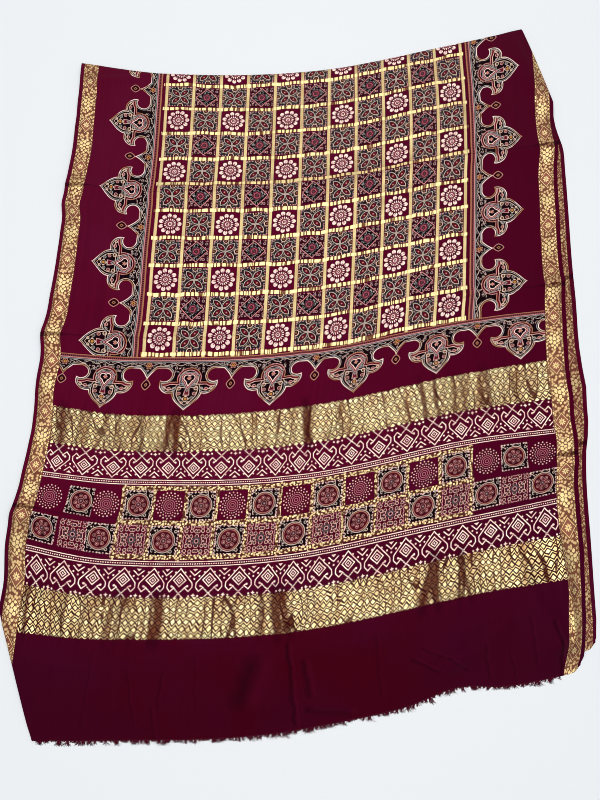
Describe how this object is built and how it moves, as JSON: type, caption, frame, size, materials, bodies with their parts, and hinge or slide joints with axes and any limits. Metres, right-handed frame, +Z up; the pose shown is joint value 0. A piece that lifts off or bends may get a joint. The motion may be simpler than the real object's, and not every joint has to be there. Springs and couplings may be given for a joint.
{
  "type": "folded printed shawl cloth",
  "caption": "Block-printed silk shawl cloth with woven metallic borders and checks, folded once across and laid flat, its cut end frayed.",
  "frame": {"origin": "middle of the bounding box in plan, on the underside of the lower layer", "axes": "+Z up from the surface, +Y along the cloth from the frayed end to the fold, +X to the right across the cloth"},
  "size_m": [1.0547, 1.4002, 0.0196],
  "materials": {
    "printed_silk": "maroon silk satin with a soft sheen, resist-printed in black, pink and ochre, with woven gold-coloured metallic bands, checks and borders",
    "frayed_yarn": "loose maroon silk warp yarns"
  },
  "bodies": {
    "root": {"cloth": "printed_silk", "fringe": "frayed_yarn"}
  },
  "joints": []
}
